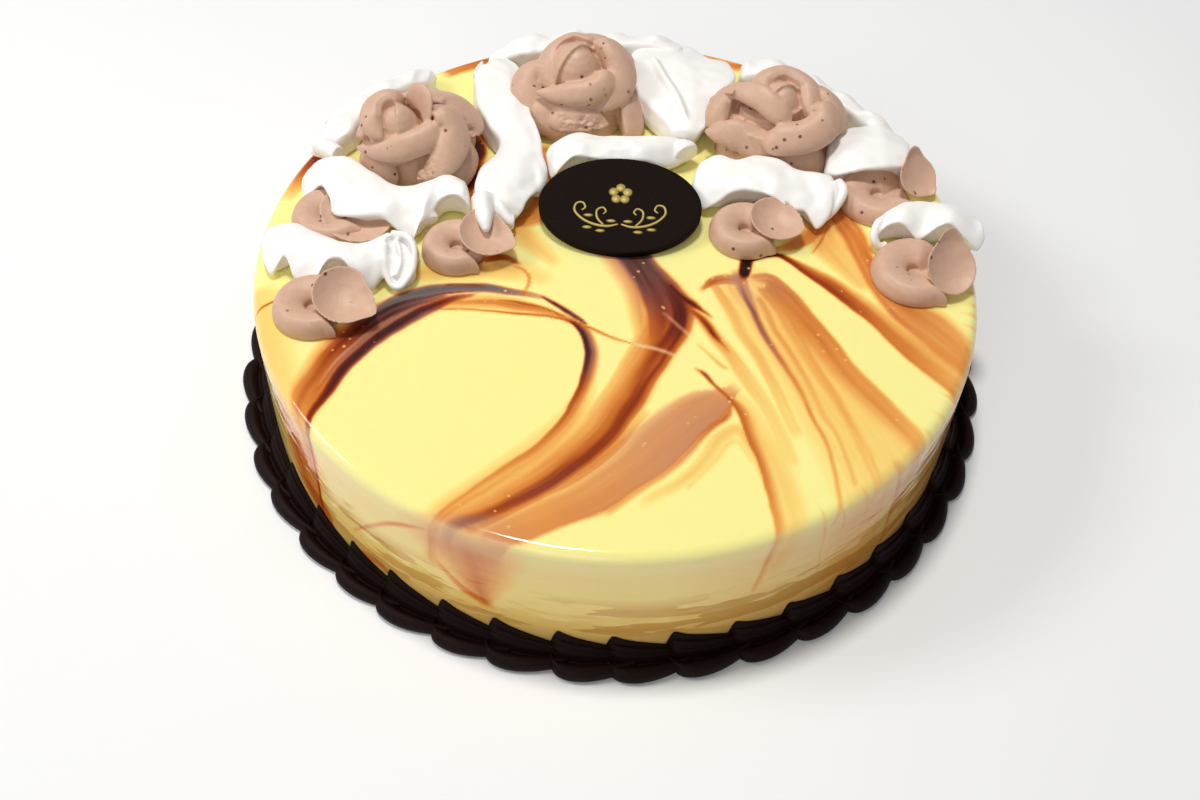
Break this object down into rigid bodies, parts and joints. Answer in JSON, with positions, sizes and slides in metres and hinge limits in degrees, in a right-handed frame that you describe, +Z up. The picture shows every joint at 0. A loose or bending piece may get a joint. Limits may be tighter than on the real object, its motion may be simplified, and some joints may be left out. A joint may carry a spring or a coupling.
{
  "type": "marble cake",
  "caption": "Whole round marbled glazed cake with a piped shell border, piped roses, blossoms and ruffles, and an oval chocolate plaque.",
  "frame": {"origin": "centre of the cake's base, on the surface that it stands on", "axes": "+Z up through the middle of the cake, +X to the viewer's right, -Y towards the viewer"},
  "size_m": [0.2246, 0.2245, 0.0693],
  "materials": {
    "glaze": "glossy pale yellow mirror glaze marbled with brown",
    "dark_chocolate": "satin, near black",
    "cocoa_cream": "matt whipped cocoa cream",
    "white_cream": "smooth satin white cream"
  },
  "bodies": {
    "root": {"cake": "glaze", "shell_border": "dark_chocolate", "rose_left": "cocoa_cream", "rose_centre": "cocoa_cream", "rose_right": "cocoa_cream", "plaque": "dark_chocolate", "blossom_front_left_small": "cocoa_cream", "blossom_front_left_broad": "cocoa_cream", "blossom_back_left_small": "cocoa_cream", "blossom_back_left_broad": "cocoa_cream", "blossom_middle_left_small": "cocoa_cream", "blossom_middle_left_broad": "cocoa_cream", "blossom_middle_right_small": "cocoa_cream", "blossom_middle_right_broad": "cocoa_cream", "blossom_back_right_small": "cocoa_cream", "blossom_back_right_broad": "cocoa_cream", "blossom_front_right_small": "cocoa_cream", "blossom_front_right_broad": "cocoa_cream", "ruffle_front_left": "white_cream", "ruffle_middle_left": "white_cream", "ruffle_left_of_centre": "white_cream", "ruffle_front_centre": "white_cream", "ruffle_right_of_centre": "white_cream", "ruffle_front_right": "white_cream", "ruffle_right": "white_cream", "ruffle_far_right": "white_cream", "ruffle_back_left": "white_cream", "ruffle_back_centre": "white_cream", "ruffle_back_right": "white_cream"}
  },
  "joints": []
}
